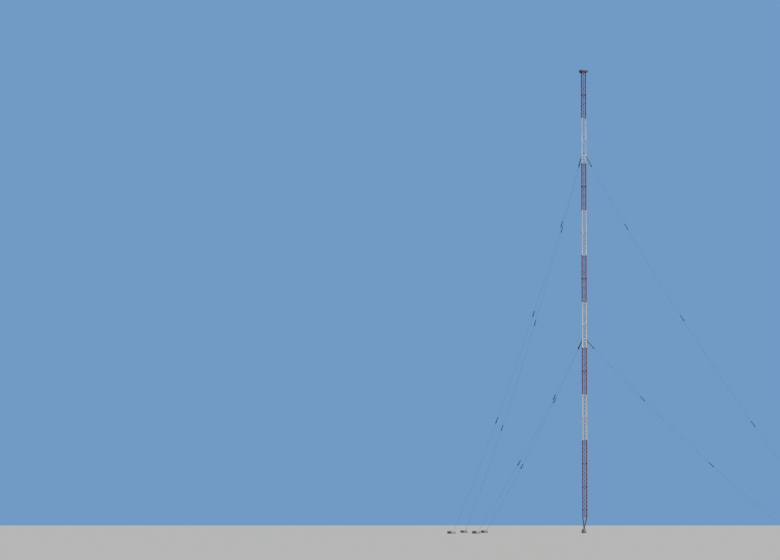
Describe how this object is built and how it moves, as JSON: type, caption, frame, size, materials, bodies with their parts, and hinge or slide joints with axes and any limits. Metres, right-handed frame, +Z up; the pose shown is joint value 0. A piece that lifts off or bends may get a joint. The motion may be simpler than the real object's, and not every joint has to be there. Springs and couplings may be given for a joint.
{
  "type": "one-to-ten scale model of a guyed lattice radio mast",
  "caption": "Slender three-sided lattice mast in red and white bands, held by guys with insulators at two levels, on a base insulator and a concrete pedestal.",
  "frame": {"origin": "middle of the pedestal's underside, on the ground and on the mast's axis", "axes": "+Z up along the mast, +X towards one leg and the guys in line with it, +Y level"},
  "size_m": [9.9977, 11.5444, 12.038],
  "materials": {
    "mast_red": "weathered dark red mast paint, satin to dull",
    "mast_white": "weathered white mast paint, satin to dull",
    "galvanised_steel": "dull spangled zinc",
    "guy_strand": "greased galvanised strand, dull",
    "brown_porcelain": "glossy brown glaze",
    "concrete": "weathered cast concrete"
  },
  "bodies": {
    "root": {"anchor_blocks": "concrete", "base_insulator": "brown_porcelain", "bearing_plate": "galvanised_steel", "foot_cap": "mast_red", "foot_diaphragms": "mast_red", "foot_lacing": "mast_red", "foot_legs": "mast_red", "lacing_01": "mast_red", "lacing_02": "mast_red", "lacing_03": "mast_white", "lacing_04": "mast_red", "lacing_05": "mast_white", "lacing_06": "mast_red", "lacing_07": "mast_white", "lacing_08": "mast_red", "lacing_09": "mast_white", "lacing_10": "mast_red", "ladder": "galvanised_steel", "ladder_arms": "galvanised_steel", "legs_01": "mast_red", "legs_02": "mast_red", "legs_03": "mast_white", "legs_04": "mast_red", "legs_05": "mast_white", "legs_06": "mast_red", "legs_07": "mast_white", "legs_08": "mast_red", "legs_09": "mast_white", "legs_10": "mast_red", "lower_guy_collar": "mast_white", "lower_guy_insulators": "brown_porcelain", "lower_guy_wire_far": "guy_strand", "lower_guy_wire_near": "guy_strand", "lower_guy_wire_right": "guy_strand", "pedestal": "concrete", "platform_deck": "mast_red", "platform_frame": "mast_red", "platform_kerb": "mast_red", "platform_knees": "mast_red", "rigging_screws": "galvanised_steel", "upper_guy_collar": "mast_white", "upper_guy_insulators": "brown_porcelain", "upper_guy_wire_far": "guy_strand", "upper_guy_wire_near": "guy_strand", "upper_guy_wire_right": "guy_strand"}
  },
  "joints": []
}
